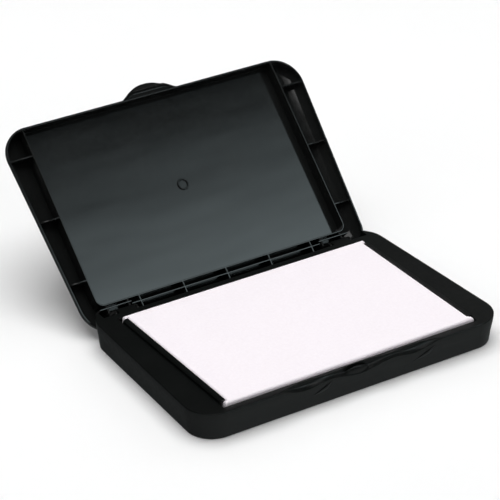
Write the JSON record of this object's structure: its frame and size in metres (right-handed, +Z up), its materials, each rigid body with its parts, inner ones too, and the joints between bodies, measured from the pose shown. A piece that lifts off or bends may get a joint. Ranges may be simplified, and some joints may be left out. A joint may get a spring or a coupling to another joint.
{
  "type": "ink pad",
  "caption": "Hinged black plastic ink pad case with a snap lid, thumb tab and a white cloth stamp pad, lid open.",
  "frame": {"origin": "centre of the base's footprint, on the surface that the base stands on", "axes": "+Z up, +Y towards the hinge and the open lid, +X to the right seen from the front"},
  "size_m": [0.1378, 0.1534, 0.067],
  "materials": {
    "case_black": "satin",
    "lid_black": "gloss",
    "pin_black": "satin",
    "pad_cloth": "matte",
    "pad_felt": "matte",
    "board_grey": "matte"
  },
  "bodies": {
    "base": {"base_shell": "case_black", "bottom_plate": "case_black", "pad_cup": "case_black", "backing_board": "board_grey", "felt_core": "pad_felt", "cloth_cover": "pad_cloth"},
    "lid": {"lid": "lid_black", "hinge_pin_left": "pin_black", "hinge_pin_right": "pin_black"}
  },
  "joints": [
    {"name": "lid_hinge", "type": "hinge", "parent": "base", "child": "lid", "pos_m": [0, 0.03998, 0.00862], "axis": [1, 0, 0], "range_deg": [0, 137]}
  ]
}
